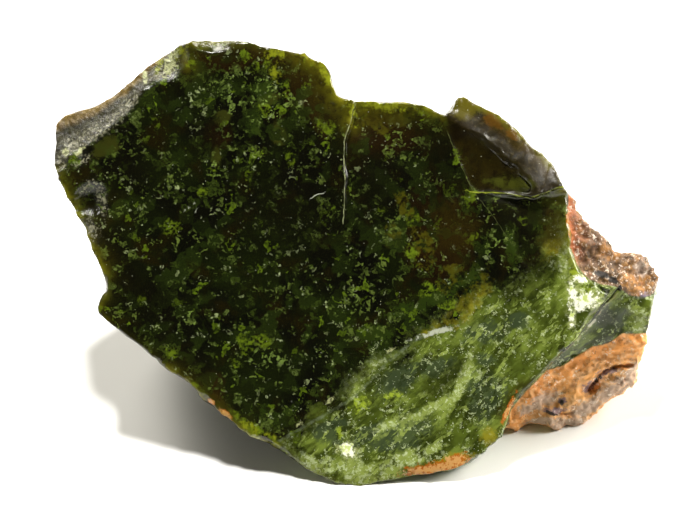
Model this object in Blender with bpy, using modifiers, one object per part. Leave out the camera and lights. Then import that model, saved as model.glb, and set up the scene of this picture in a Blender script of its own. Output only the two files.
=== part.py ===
"""A raw chunk of green opalite: one broken lump of stone with a rusty crust down its right side.

The stone is laid out in the frame of its big broken face: U runs to the right, V up the face and W out of
it. The face then leans back from upright, and the lump behind it stands on the flat break at z = 0.
Every length below is in millimetres, and the finished mesh is scaled to metres.
"""

import math

import bmesh
import bpy
from mathutils import Matrix, Vector

MM = 0.001

# Driving dimensions
FACE_SLOPE = 50.0  # degrees between the big face and the surface that the stone stands on
FACE_CENTRE = (-0.4, -2.6, 24.8)  # where U = V = W = 0 lies in the stone's own axes
BLOCK_DEPTH = 78.0  # how far the raw block runs behind the face before it is broken away
BLOCK_TAPER = 0.97  # the size of the block's rear end against its face
GRAIN = 0.45  # voxel size of the broken surface
ROUGH_BASE = 1.2  # how far below the resting plane the block ends before the base is cut flat
TRIANGLES = 9900

# The big face, clockwise from its left corner: U, V
FACE_OUTLINE = [
    (-41.9, 17.9), (-41.5, 19.0), (-40.8, 19.6), (-38.5, 20.6), (-35.4, 21.2), (-33.8, 22.1),
    (-31.3, 24.1), (-28.9, 26.2), (-26.1, 28.2), (-23.8, 29.7), (-20.3, 30.3), (-15.9, 30.4),
    (-13.8, 30.1), (-12.1, 29.3), (-8.6, 28.9), (-7.5, 28.4), (-6.4, 28.7), (-5.7, 27.9),
    (-3.5, 26.9), (-2.8, 26.1), (-2.4, 24.4), (-1.4, 22.1), (0.4, 21.9), (0.8, 21.5), (3.0, 21.9),
    (4.0, 21.4), (7.9, 21.6), (10.5, 21.1), (11.7, 20.6), (13.2, 19.7), (14.2, 20.9), (14.7, 22.2),
    (15.3, 22.7), (16.2, 22.7), (18.0, 21.6), (20.5, 20.3), (22.6, 18.5), (24.7, 16.4), (25.7, 15.1),
    (27.1, 14.5), (28.7, 12.7), (30.1, 10.0), (31.7, 8.1), (31.2, 5.5), (30.8, 3.0), (31.2, 0.2),
    (32.4, -2.2), (34.2, -3.8), (36.9, -5.2), (35.5, -7.1), (32.0, -11.5), (27.8, -15.8),
    (23.8, -19.9), (22.6, -21.8), (22.2, -23.9), (21.2, -25.5), (18.7, -28.2), (15.8, -30.0),
    (10.0, -30.9), (4.6, -31.7), (1.4, -32.4), (-0.3, -32.4), (-1.9, -32.0), (-6.1, -30.0),
    (-10.7, -26.9), (-14.0, -25.3), (-18.0, -21.9), (-20.6, -20.0), (-22.9, -17.5), (-25.9, -15.8),
    (-30.1, -12.4), (-33.1, -10.1), (-35.3, -8.2), (-35.5, -7.5), (-35.2, -6.5), (-34.1, -4.6),
    (-34.2, -3.3), (-35.9, 0.6), (-37.8, 4.6), (-40.4, 9.5), (-41.7, 12.7), (-41.9, 14.1),
    (-41.6, 15.8),
]

# The crusted shoulder behind the face's right edge, clockwise: U, V
SHOULDER_OUTLINE = [
    (27.0, 8.0), (30.8, 8.9), (31.9, 8.1), (32.1, 6.2), (33.4, 4.3), (34.8, 3.5), (36.0, 2.5),
    (36.9, 1.3), (37.2, 0.3), (38.9, 0.4), (40.3, 0.1), (41.8, -0.6), (42.9, -1.8), (43.4, -3.6),
    (43.1, -6.0), (42.4, -9.2), (41.6, -12.6), (41.2, -15.9), (40.9, -17.4), (41.1, -18.3),
    (40.4, -18.9), (38.0, -20.2), (34.8, -22.6), (33.2, -23.6), (30.4, -24.5), (28.9, -24.5),
    (27.4, -23.9), (25.7, -23.8), (24.2, -24.1), (20.0, -25.5), (14.0, -18.0), (16.0, 2.0),
]
# Planes that end the shoulder's front: a point U, V, W and the outward normal
SHOULDER_FRONT = [
    ((38.0, 0.0, -1.2), (0.10, -0.34, 1.0)),
    ((30.6, 4.0, -0.2), (0.38, 0.0, 1.0)),
]

# Breaks that end the block behind the face: a point, then the outward normal, in the stone's own axes
BREAKS = [
    ((-14.4, 18.9, 47.5), (-0.06, 0.96, 0.20)),
    ((-34.0, 15.4, 43.4), (-0.50, 0.82, 0.24)),
    ((22.4, 11.6, 38.4), (0.42, 0.86, 0.24)),
    ((41.6, 6.6, 12.0), (0.74, 0.60, -0.24)),
    ((-34.4, 15.6, 16.0), (-0.74, 0.50, -0.42)),
    ((-19.3, -11.6, 5.2), (-0.57, -0.22, -0.79)),
    ((31.2, -10.9, -0.5), (0.42, -0.20, -0.88)),
]

# Wide shells struck off the back: a point on the break, its outward normal, half width and depth
BACK_SHELLS = [
    ((-13.0, 23.4, 27.0), (-0.06, 0.96, 0.20), 19.0, 2.6),
    ((27.0, 14.0, 22.0), (0.42, 0.86, 0.24), 17.0, 2.4),
    ((4.0, 26.4, 9.0), (0.12, 0.96, 0.10), 15.0, 2.2),
    ((-36.0, 17.6, 33.0), (-0.62, 0.72, 0.04), 9.0, 1.6),
    ((-25.0, -2.0, 7.0), (-0.57, -0.16, -0.79), 15.0, 1.8),
]
# The hollow behind the notch in the top edge: centre, then radii, in the stone's own axes
NOTCH_HOLLOW = ((5.0, 26.0, 47.0), (15.0, 13.0, 10.5))

DISH = 0.6  # how far a chip's ellipsoid stands off the surface, against its own radius

# Dished chips: centre U, V and the surface's W, half length, half width, depth, turn about W in degrees
CHIPS = [
    (-40.0, 16.6, -0.8, 3.6, 2.6, 1.0, 40),
    (-36.2, 18.9, -0.9, 4.2, 2.5, 1.1, 30),
    (-31.8, 22.2, -0.7, 4.0, 2.4, 0.9, 42),
    (-27.6, 26.4, -0.3, 2.6, 2.0, 1.0, 38),
    (-24.6, 28.6, -0.2, 2.2, 2.2, 1.3, 38),
    (-36.7, 7.7, 0.0, 2.8, 2.4, 1.2, 60),
    (-37.6, 4.2, 0.0, 2.4, 1.5, 0.8, 68),
    (-40.9, 12.9, 0.0, 1.6, 1.4, 0.8, 30),
    (-35.0, -4.4, 0.0, 2.2, 1.3, 0.9, 80),
    (-19.1, 30.9, 0.0, 3.7, 2.5, 1.8, -2),
    (-8.7, 29.9, 0.0, 1.9, 1.3, 0.8, -12),
    (-6.3, 29.0, 0.0, 1.5, 1.1, 0.7, -32),
    (-1.6, 23.0, 0.0, 1.6, 2.3, 1.3, 20),
    (5.8, 22.2, 0.0, 6.4, 1.3, 1.0, -3),
    (-30.0, -13.3, 0.0, 4.8, 1.0, 0.8, -38),
    (-20.4, -21.0, 0.0, 3.8, 1.3, 1.0, -44),
    (-10.0, -28.0, 0.0, 5.4, 1.3, 1.0, -33),
    (17.2, -30.0, 0.0, 4.6, 1.6, 1.2, 26),
    (32.9, -7.4, -0.4, 3.2, 1.1, 0.6, -58),
]

# Flat scars, each an outline in U and V, then three points U, V, W of its floor
SCARS = {
    "left_bevel": (
        [
            (-44.0, 11.6), (-40.4, 12.5), (-38.9, 14.1), (-37.1, 15.1), (-35.4, 16.7), (-34.0, 17.6),
            (-32.2, 19.0), (-30.8, 20.3), (-29.6, 21.9), (-28.5, 23.7), (-27.1, 24.6), (-25.0, 25.3),
            (-23.8, 27.5), (-22.4, 29.8), (-22.0, 33.0), (-46.0, 33.0),
        ],
        ((-40.4, 12.5, -0.1), (-27.0, 24.6, -0.4), (-39.0, 20.5, -2.3)),
    ),
    "flake_bevel": (
        [
            (12.9, 19.6), (13.7, 19.4), (15.9, 18.1), (18.0, 17.4), (20.0, 16.0), (21.9, 14.1),
            (24.0, 12.6), (25.2, 10.9), (26.1, 9.5), (26.6, 8.6), (34.0, 8.6), (34.0, 26.0), (12.0, 26.0),
        ],
        ((13.7, 19.4, -0.2), (26.2, 9.4, -0.2), (23.2, 18.0, -2.2)),
    ),
    "flake_hollow": (
        [
            (13.1, 19.0), (13.5, 17.6), (15.4, 13.0), (16.8, 9.9), (17.3, 8.8), (26.2, 8.8), (25.5, 9.7),
            (24.5, 10.9), (23.4, 12.1), (21.4, 13.6), (19.5, 15.4), (17.7, 16.8), (15.6, 17.5),
            (14.0, 18.7),
        ],
        ((13.1, 19.2, -0.3), (17.3, 8.8, -0.2), (24.8, 10.4, -1.7)),
    ),
    "ledge": (
        [
            (16.9, 9.1), (20.0, 8.9), (21.9, 8.8), (23.6, 8.4), (25.4, 8.2), (27.3, 8.8), (28.9, 9.5),
            (30.0, 9.7), (33.0, 9.9), (33.0, -4.0), (24.0, -4.0), (22.4, 1.8), (20.1, 5.2), (18.0, 7.8),
        ],
        ((17.3, 8.8, -0.6), (30.0, 9.6, -2.2), (25.5, -2.0, 0.0)),
    ),
    "step": (
        [
            (0.3, 23.6), (0.7, 21.4), (0.3, 19.5), (0.0, 18.5), (-0.8, 16.2), (-0.9, 14.0), (-0.7, 11.5),
            (-0.8, 9.0), (-0.8, 7.6), (-1.0, 4.0), (9.0, 4.0), (12.6, 10.0), (12.8, 23.6),
        ],
        ((-0.9, 4.6, -0.2), (0.0, 22.0, -1.2), (12.5, 15.0, 0.0)),
    ),
    "shoulder_facet": (
        [
            (44.0, -14.2), (40.7, -16.0), (38.5, -16.1), (37.0, -16.7), (36.1, -17.7), (34.9, -19.5),
            (32.4, -22.9), (31.0, -28.0), (46.0, -28.0),
        ],
        ((38.6, -16.3, -7.0), (34.9, -19.5, -7.7), (39.2, -21.0, -9.9)),
    ),
}

# Holes rotted into the crust, given as the chips are
PITS = [
    (35.4, -2.5, -0.6, 1.5, 0.8, 2.6, -15),
    (37.2, -3.3, -0.8, 1.2, 0.8, 2.8, -25),
    (34.6, -19.0, -7.2, 1.5, 0.8, 1.6, 30),
]


def clear_scene():
    for obj in list(bpy.data.objects):
        bpy.data.objects.remove(obj)


def new_collection(name):
    collection = bpy.data.collections.new(name)
    bpy.context.scene.collection.children.link(collection)
    return collection


def face_matrix():
    """From U, V, W to the stone's own axes."""
    return Matrix.Translation(FACE_CENTRE) @ Matrix.Rotation(math.radians(FACE_SLOPE), 4, "X")


def add_object(name, mesh, collection):
    obj = bpy.data.objects.new(name, mesh)
    collection.objects.link(obj)
    return obj


def settle(obj):
    """Puts the evaluated mesh in place of the object's mesh and modifiers."""
    graph = bpy.context.evaluated_depsgraph_get()
    mesh = bpy.data.meshes.new_from_object(obj.evaluated_get(graph), depsgraph=graph)
    obj.modifiers.clear()
    obj.data = mesh


def extruded_outline(name, outline, depth, taper, collection):
    """A block with this outline as its face at W = 0, running back along W and tapering a little."""
    curve = bpy.data.curves.new(name, "CURVE")
    curve.dimensions = "2D"
    curve.fill_mode = "BOTH"
    curve.extrude = depth / 2
    spline = curve.splines.new("POLY")
    spline.points.add(len(outline) - 1)
    for point, (u, v) in zip(spline.points, outline):
        point.co = (u, v, 0, 1)
    spline.use_cyclic_u = True
    flat = add_object(name + "_outline", curve, collection)
    bpy.context.view_layer.update()
    graph = bpy.context.evaluated_depsgraph_get()
    mesh = bpy.data.meshes.new_from_object(flat.evaluated_get(graph), depsgraph=graph)
    bpy.data.objects.remove(flat)
    work = bmesh.new()
    work.from_mesh(mesh)
    bmesh.ops.remove_doubles(work, verts=work.verts, dist=0.001)
    bmesh.ops.translate(work, verts=work.verts, vec=(0, 0, -depth / 2))
    rear = [v for v in work.verts if v.co.z < -depth / 2]
    bmesh.ops.scale(work, verts=rear, vec=(taper, taper, 1))
    bmesh.ops.recalc_face_normals(work, faces=work.faces)
    work.to_mesh(mesh)
    work.free()
    return mesh


def outside_of(point, normal, frame):
    """A cutter that covers everything outside a plane."""
    size = 240.0
    place = (
        frame
        @ Matrix.Translation(point)
        @ Vector(normal).to_track_quat("Z", "Y").to_matrix().to_4x4()
        @ Matrix.Translation((0, 0, size / 2))
    )
    work = bmesh.new()
    bmesh.ops.create_cube(work, size=size, matrix=place)
    mesh = bpy.data.meshes.new("break")
    work.to_mesh(mesh)
    work.free()
    return mesh


def ellipsoid(name, centre, radii, turn, frame, fineness=4):
    """A closed ellipsoid placed in the given frame."""
    place = (
        frame
        @ Matrix.Translation(centre)
        @ Matrix.Rotation(math.radians(turn), 4, "Z")
        @ Matrix.Diagonal((*radii, 1))
    )
    work = bmesh.new()
    bmesh.ops.create_icosphere(work, subdivisions=fineness, radius=1, matrix=place)
    mesh = bpy.data.meshes.new(name)
    work.to_mesh(mesh)
    work.free()
    return mesh


def chip(u, v, w, half_length, half_width, depth, turn, to_stone):
    """An ellipsoid that leaves a dish of this length, width and depth in a surface at W."""
    radius = depth / (1 - DISH)
    spread = math.sqrt(1 - DISH * DISH)
    centre = (u, v, w + DISH * radius)
    return ellipsoid("chip", centre, (half_length / spread, half_width / spread, radius), turn, to_stone)


def back_shell(point, normal, half_width, depth):
    """A sphere that leaves a wide shallow dish in a break."""
    radius = (half_width ** 2 + depth ** 2) / (2 * depth)
    centre = Vector(point) + Vector(normal).normalized() * (radius - depth)
    return ellipsoid("shell", centre, (radius, radius, radius), 0, Matrix(), 5)


def scar(outline, floor, to_stone, parts):
    """A cutter with this outline and a slanting floor through three points, in the face's frame."""
    mesh = extruded_outline("scar", outline, 1.0, 1.0, parts)
    point = Vector(floor[0])
    normal = (Vector(floor[1]) - point).cross(Vector(floor[2]) - point)
    for vertex in mesh.vertices:
        if vertex.co.z < -0.5:
            across = normal.x * (vertex.co.x - point.x) + normal.y * (vertex.co.y - point.y)
            vertex.co.z = point.z - across / normal.z
        else:
            vertex.co.z = 30.0
    mesh.transform(to_stone)
    return mesh


def join_or_cut(stone, operation, meshes):
    """Unions or subtracts all the meshes in one Boolean."""
    helpers = new_collection("cutters")
    for mesh in meshes:
        helper = add_object(mesh.name, mesh, helpers)
        helper.hide_render = True
        helper.display_type = "WIRE"
    boolean = stone.modifiers.new(operation, "BOOLEAN")
    boolean.operation = operation
    boolean.operand_type = "COLLECTION"
    boolean.collection = helpers
    boolean.solver = "EXACT"
    stone.modifiers.new("triangles", "TRIANGULATE")
    settle(stone)
    for helper in list(helpers.objects):
        bpy.data.objects.remove(helper)
    bpy.data.collections.remove(helpers)


def shape_block(to_stone, parts):
    """The block behind the face, joined to the shoulder behind the face's right edge."""
    shoulder_mesh = extruded_outline("shoulder", SHOULDER_OUTLINE, BLOCK_DEPTH, 1.0, parts)
    shoulder = add_object("shoulder", shoulder_mesh, parts)
    fronts = [outside_of(point, normal, Matrix()) for point, normal in SHOULDER_FRONT]
    join_or_cut(shoulder, "DIFFERENCE", fronts)
    block_mesh = extruded_outline("block", FACE_OUTLINE, BLOCK_DEPTH, BLOCK_TAPER, parts)
    stone = add_object("opalite_stone", block_mesh, parts)
    join_or_cut(stone, "UNION", [shoulder.data.copy()])
    bpy.data.objects.remove(shoulder)
    stone.data.transform(to_stone)
    return stone


def ramp(value, start, width):
    """0 up to the start, rising to 1 over the width."""
    return max(0.0, min(1.0, (value - start) / width))


def crust_share(co):
    """How crusted a point of the stone is, from 0 to 1, by where it lies in the face's frame."""
    u, v, w = co
    upper = ramp(u, 31.0, 1.2) * ramp(v + 0.17 * (u - 34.0), -4.8, 1.0)
    lower = ramp(0.4 * (u - 40.8) - v, 10.8, 1.0) * ramp(-w, 3.0, 1.0)
    side = ramp(u, 25.0, 4.0) * ramp(-w, 7.0, 2.5)
    return max(upper, lower, side)


def back_share(co):
    """How far behind the big face a point lies, from 0 to 1."""
    return ramp(-co.z, 5.0, 9.0)


def roughen(stone, to_stone):
    """Broad swells over the whole stone, heavier ones behind, and a granular crust on its right side."""
    to_face = to_stone.inverted()
    for name, share in (("crust", crust_share), ("behind", back_share)):
        group = stone.vertex_groups.new(name=name)
        for vertex in stone.data.vertices:
            group.add([vertex.index], share(to_face @ vertex.co), "REPLACE")
    # texture, size of its lumps, levels of detail, strength, where it acts
    for name, size, depth, strength, group in (
        ("swell", 11.0, 2, 1.1, ""),
        ("heave", 14.0, 3, 3.4, "behind"),
        ("grit", 2.8, 3, 2.3, "crust"),
    ):
        texture = bpy.data.textures.new(name, "CLOUDS")
        texture.noise_scale = size
        texture.noise_depth = depth
        displace = stone.modifiers.new(name, "DISPLACE")
        displace.texture = texture
        displace.texture_coords = "LOCAL"
        displace.strength = strength
        displace.mid_level = 0.5
        displace.vertex_group = group
    settle(stone)


def centring(mesh):
    """The move that brings the middle of the mesh's box over the origin, at its own height."""
    xs = [vertex.co.x for vertex in mesh.vertices]
    ys = [vertex.co.y for vertex in mesh.vertices]
    return Matrix.Translation((-(min(xs) + max(xs)) / 2, -(min(ys) + max(ys)) / 2, 0))


def opal_material():
    material = bpy.data.materials.new("green_opalite")
    material.use_nodes = True
    shader = material.node_tree.nodes["Principled BSDF"]
    shader.inputs["Base Color"].default_value = (0.035, 0.055, 0.008, 1)
    shader.inputs["Roughness"].default_value = 0.3
    shader.inputs["Metallic"].default_value = 0.0
    return material


def build():
    clear_scene()
    parts = new_collection("raw_green_opalite")
    to_stone = face_matrix()
    own_axes = Matrix()

    stone = shape_block(to_stone, parts)
    cuts = [outside_of(point, normal, own_axes) for point, normal in BREAKS]
    cuts += [outside_of((0, 0, -ROUGH_BASE), (0, 0, -1), own_axes)]
    cuts += [back_shell(*shell) for shell in BACK_SHELLS]
    cuts += [ellipsoid("hollow", *NOTCH_HOLLOW, 0, own_axes)]
    cuts += [scar(*shape, to_stone, parts) for shape in SCARS.values()]
    cuts += [chip(*size, to_stone) for size in CHIPS + PITS]
    join_or_cut(stone, "DIFFERENCE", cuts)

    remesh = stone.modifiers.new("grain", "REMESH")
    remesh.mode = "VOXEL"
    remesh.voxel_size = GRAIN
    settle(stone)
    roughen(stone, to_stone)

    decimate = stone.modifiers.new("fewer_faces", "DECIMATE")
    decimate.ratio = TRIANGLES / (2 * len(stone.data.polygons))
    settle(stone)
    join_or_cut(stone, "DIFFERENCE", [outside_of((0, 0, 0), (0, 0, -1), own_axes)])
    stone.data.transform(Matrix.Scale(MM, 4) @ centring(stone.data))
    stone.data.materials.clear()
    stone.data.materials.append(opal_material())


build()
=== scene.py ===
import math

import bmesh
import bpy
import numpy as np
from mathutils import Matrix, Vector, noise
from mathutils.kdtree import KDTree


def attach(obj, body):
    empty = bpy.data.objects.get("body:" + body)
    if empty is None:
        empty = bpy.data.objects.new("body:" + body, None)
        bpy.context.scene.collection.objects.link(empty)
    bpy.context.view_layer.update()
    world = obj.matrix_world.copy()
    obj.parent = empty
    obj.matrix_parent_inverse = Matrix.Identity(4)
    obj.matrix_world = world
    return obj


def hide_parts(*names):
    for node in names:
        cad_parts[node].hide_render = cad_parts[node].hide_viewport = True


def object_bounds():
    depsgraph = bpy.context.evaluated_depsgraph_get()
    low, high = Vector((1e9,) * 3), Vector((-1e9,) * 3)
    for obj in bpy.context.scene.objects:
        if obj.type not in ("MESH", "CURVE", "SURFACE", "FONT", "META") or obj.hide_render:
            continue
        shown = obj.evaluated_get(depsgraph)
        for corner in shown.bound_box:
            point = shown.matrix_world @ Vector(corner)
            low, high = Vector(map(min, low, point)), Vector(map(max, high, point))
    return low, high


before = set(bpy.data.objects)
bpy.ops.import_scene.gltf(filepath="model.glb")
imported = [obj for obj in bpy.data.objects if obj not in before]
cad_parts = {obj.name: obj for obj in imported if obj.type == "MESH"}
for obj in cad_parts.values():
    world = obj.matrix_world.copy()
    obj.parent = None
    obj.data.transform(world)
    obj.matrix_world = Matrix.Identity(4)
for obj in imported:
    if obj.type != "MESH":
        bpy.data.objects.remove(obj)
CAD_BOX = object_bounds()

# The looks of a raw chunk of green opalite: one broken lump of common opal with a rusty crust on its right.
# The stone is worked in the frame of its big broken face, in millimetres: U runs to the right, V up the
# face and W out of it. The finished mesh goes back to the stone's own axes, in metres.

MM = 0.001
FACE_SLOPE = 50.0  # degrees between the big face and the surface that the stone stands on
FACE_CENTRE = (-0.93, -5.43, 24.8)  # where U = V = W = 0 lies in the stone's own axes

FRONT = -4.0  # the big face and its scars lie above this W
WORKING_GRAIN = 0.24  # voxel size while the surface is worked
TRIANGLES = 188000  # in the finished mesh
SHARP_ANGLE = 38.0  # an edge of the solid that bends more than this stays crisp
FOLD_ANGLE = 100.0  # one that bends more than this is only a fold between slivers

# Lines on the big face and the shoulder, as U, V
BEVEL_RIDGE = [  # upper left, where the face turns into a hackled bevel
    (-44.0, 11.4), (-40.4, 12.5), (-38.9, 14.1), (-37.1, 15.1), (-35.4, 16.7), (-32.2, 19.0),
    (-30.8, 20.3), (-29.6, 21.9), (-28.5, 23.7), (-25.0, 25.3), (-23.8, 27.5), (-22.4, 31.0),
]
BEVEL_SPLIT = [  # where the bevel turns browner
    (-44.0, 16.6), (-40.0, 18.1), (-37.8, 19.0), (-35.4, 20.0), (-31.7, 22.5), (-28.0, 26.0),
]
PALE_BORDER = [  # between the dark opal and the pale opal at the lower right
    (-14.0, -34.0), (-5.6, -23.2), (4.0, -15.4), (9.6, -11.6), (17.6, -7.0), (30.0, 0.6), (35.4, 8.6),
]
CRUST_EDGE = [  # the upper crust's left and lower edge
    (30.9, 12.0), (30.6, 8.1), (30.6, 4.6), (31.0, 2.9), (30.8, 1.3), (31.5, -0.5), (32.2, -2.0),
    (33.6, -3.4), (35.5, -4.1), (37.8, -4.5), (39.2, -5.7), (46.0, -6.2),
]
LOWER_CRUST_EDGE = [  # the inner edge of the shoulder's crust
    (46.0, -10.6), (40.8, -10.8), (38.5, -10.8), (36.6, -12.2), (34.1, -12.7), (32.0, -14.1),
    (29.9, -15.5), (27.8, -16.0), (24.6, -19.4), (22.6, -21.8), (22.2, -23.9), (20.0, -28.0),
]
LIP = [  # the crack between the face and the shoulder
    (37.9, -4.4), (36.9, -5.7), (35.5, -7.1), (33.9, -9.4), (32.0, -11.5), (30.0, -13.4),
    (27.8, -15.8), (25.9, -17.8), (23.8, -19.9), (22.6, -21.8), (22.2, -23.7),
]
STEP = [  # a low step that runs down from the top edge
    (0.5, 26.0), (0.7, 21.4), (0.3, 19.5), (0.0, 18.5), (-0.8, 16.2), (-0.9, 14.0), (-0.7, 11.5),
    (-0.8, 9.0), (-0.8, 7.6), (-1.0, 4.0), (-1.6, -2.0),
]
FLAKE_RIDGE = [  # upper right, between the flake's hollow and the facet behind it
    (11.6, 20.6), (13.7, 19.4), (15.9, 18.1), (18.0, 17.4), (20.0, 16.0), (21.9, 14.1), (24.0, 12.6),
    (25.2, 10.9), (26.6, 8.8), (27.6, 8.9), (29.0, 9.5), (30.1, 9.7), (34.0, 9.9),
]
FLAKE_FOOT = [  # the left edge of the hollow inside the ridge
    (13.1, 19.7), (13.5, 17.6), (15.4, 13.0), (16.8, 9.9), (17.5, 8.8), (18.0, 8.1), (20.1, 5.5), (22.4, 2.0),
]
LEDGE = [  # the hollow's lower edge, with a drop below it
    (16.9, 9.0), (17.8, 8.9), (20.0, 8.9), (21.9, 8.8), (23.6, 8.4), (25.4, 8.2), (27.3, 8.8), (28.9, 9.5),
    (30.0, 9.7), (34.0, 9.9),
]
SHOULDER_CRACK = [(40.6, -15.6), (37.8, -15.8), (36.4, -16.4), (35.5, -17.4), (34.3, -19.2)]
SHOULDER_PIT = [(30.1, -22.5), (31.0, -22.7), (31.8, -22.4)]


def to_stone():
    """From U, V, W in millimetres to the stone's own axes in metres."""
    turn = Matrix.Rotation(math.radians(FACE_SLOPE), 4, "X")
    return Matrix.Scale(MM, 4) @ Matrix.Translation(FACE_CENTRE) @ turn


def select_only(obj):
    bpy.ops.object.select_all(action="DESELECT")
    obj.select_set(True)
    bpy.context.view_layer.objects.active = obj


def ramp(value, start, end):
    """0 at the start and 1 at the end, eased at both."""
    share = np.clip((value - start) / (end - start), 0.0, 1.0)
    return share * share * (3.0 - 2.0 * share)


def places(mesh, what="co"):
    """Where each vertex lies, or its normal, as rows of three numbers."""
    flat = np.empty(len(mesh.vertices) * 3)
    mesh.vertices.foreach_get(what, flat)
    return flat.reshape(-1, 3)


def put(mesh, points):
    """Moves each vertex to its row's place."""
    mesh.vertices.foreach_set("co", points.astype(np.float32).ravel())
    mesh.update()


def beside(points, line):
    """Each point's distance from a line of U, V points: above 0 on its left, below 0 on its right."""
    nearest = np.full(len(points), 1e9)
    signed = np.zeros(len(points))
    for start, end in zip(line[:-1], line[1:]):
        start, along = np.array(start), np.array(end) - np.array(start)
        offset = points[:, :2] - start
        share = np.clip(offset @ along / (along @ along), 0.0, 1.0)
        gap = offset - share[:, None] * along
        distance = np.hypot(gap[:, 0], gap[:, 1])
        side = np.sign(along[0] * offset[:, 1] - along[1] * offset[:, 0])
        closer = distance < nearest - 1e-9
        nearest[closer] = distance[closer]
        signed[closer] = (side * distance)[closer]
    return signed


def across_spot(u, v, spot):
    """Where places lie in a spot, as shares of its half length and half width. A spot is U, V, half
    length, half width and turn in degrees."""
    centre_u, centre_v, half_length, half_width, turn = spot
    cos, sin = math.cos(math.radians(turn)), math.sin(math.radians(turn))
    du, dv = u - centre_u, v - centre_v
    return (cos * du + sin * dv) / half_length, (cos * dv - sin * du) / half_width


def spots(points, group):
    """1 at the middle of a spot, 0.5 on its rim and 0 at twice its size."""
    field = np.zeros(len(points))
    for spot in group:
        along, across = across_spot(points[:, 0], points[:, 1], spot)
        field = np.maximum(field, 1.0 - 0.5 * np.hypot(along, across))
    return field


# ---------------------------------------------------------------- shape


def copied_stone(node):
    """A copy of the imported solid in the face's frame, with its triangles merged."""
    stone = bpy.data.objects.new("broken_opalite", node.data.copy())
    bpy.context.scene.collection.objects.link(stone)
    stone.data.materials.clear()
    stone.data.transform(to_stone().inverted())
    select_only(stone)
    bpy.ops.object.mode_set(mode="EDIT")
    bpy.ops.mesh.select_all(action="SELECT")
    bpy.ops.mesh.remove_doubles(threshold=0.002)
    bpy.ops.object.mode_set(mode="OBJECT")
    return stone


def sharp_edges(mesh, spacing=0.3):
    """Points along every outward edge that bends sharply, to measure distances from."""
    work = bmesh.new()
    work.from_mesh(mesh)
    points = []
    for edge in work.edges:
        start, end = edge.verts[0].co, edge.verts[1].co
        scar = min(face.normal.z for face in edge.link_faces) > 0.5 and min(start.z, end.z) > FRONT
        if not scar and SHARP_ANGLE < math.degrees(edge.calc_face_angle_signed()) < FOLD_ANGLE:
            steps = max(1, int((end - start).length / spacing))
            points += [start.lerp(end, step / steps) for step in range(steps + 1)]
    work.free()
    tree = KDTree(len(points))
    for index, point in enumerate(points):
        tree.insert(point, index)
    tree.balance()
    return tree


def distance_from(tree, points):
    """How far each point is from the nearest one in the tree."""
    return np.array([tree.find(point)[2] for point in points])


def crusted(points):
    """How crusted each point is, from 0 to 1."""
    u, w = points[:, 0], points[:, 2]
    stray = wander(points, 6.0, 5.0, 3.0) * ramp(-w, 2.0, 8.0)
    upper = ramp(beside(points, CRUST_EDGE) + stray, -0.5, 0.7) * ramp(w + stray, -14.0, -12.0)
    lower = ramp(beside(points, LOWER_CRUST_EDGE), -0.4, 0.8) * ramp(-w, 1.5, 3.0)
    side = ramp(u + stray, 25.0, 29.0) * ramp(-w + stray, 7.0, 9.5)
    return np.clip(np.maximum(np.maximum(upper, lower), side), 0.0, 1.0)


def on_face(points, normals):
    """1 on the surfaces that look out of the big face's side, 0 on the back."""
    return ramp(normals[:, 2], 0.15, 0.5) * ramp(points[:, 2], -16.0, -10.0)


def bevelled(points, normals):
    """1 on the hackled bevel along the upper left edge."""
    behind = ramp(beside(points, BEVEL_RIDGE), -0.2, 0.5) * ramp(-points[:, 0], 20.0, 22.0)
    return behind * on_face(points, normals)


def weigh(stone, name, weights, levels=40):
    """A vertex group with these weights, in steps."""
    group = stone.vertex_groups.new(name=name)
    steps = np.rint(weights * levels)
    for step in range(1, levels + 1):
        group.add(np.flatnonzero(steps == step).tolist(), step / levels, "REPLACE")


def finish_with(stone, kind, **settings):
    """Adds a modifier and applies it."""
    select_only(stone)
    modifier = stone.modifiers.new(kind.lower(), kind)
    for name, value in settings.items():
        setattr(modifier, name, value)
    bpy.ops.object.modifier_apply(modifier=modifier.name)


def relief(stone, kind, size, strength, group="", mid_level=0.5, **settings):
    """Raises and sinks the surface by a noise whose lumps are this many millimetres across."""
    texture = bpy.data.textures.new("relief", kind)
    texture.noise_scale = size
    for name, value in settings.items():
        setattr(texture, name, value)
    finish_with(
        stone, "DISPLACE", texture=texture, texture_coords="LOCAL", strength=strength,
        mid_level=mid_level, vertex_group=group,
    )
    bpy.data.textures.remove(texture)


def wander(points, size, amount, shift=0.0):
    """A slow random number for each place in the face's plane, between about -amount and amount."""
    return amount * np.array([noise.noise((u / size + shift, v / size, shift)) for u, v in points[:, :2]])


# The larger scars in the big face, in millimetres. A slope is millimetres of depth for each one across.
BEVEL_DEPTH, BEVEL_REACH = 2.5, 2.8  # the depth that the hackled bevel nears, and how soon
STEP_FOOT, STEP_GROWTH = 0.15, 1.1  # the step's height low on the face, and what it gains to its top
STEP_WIDTH = 11.0  # how far to its right the lowered surface reaches
FLAKE_EDGE, FLAKE_SLOPE, FLAKE_WIDTH = 0.05, 0.38, 5.0  # the facet behind the flake's ridge
HOLLOW_EDGE, HOLLOW_SLOPE, HOLLOW_WIDTH = 0.2, 0.09, 9.0  # the hollow inside the ridge
LEDGE_START, LEDGE_HEIGHT, LEDGE_SLOPE, LEDGE_REACH = 17.0, 1.0, 0.05, 5.0  # the ledge, from its left end's U
FLAKE_LEFT, FLAKE_LOW = 11.5, 8.7  # U and V where the flake's scar begins
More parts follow.
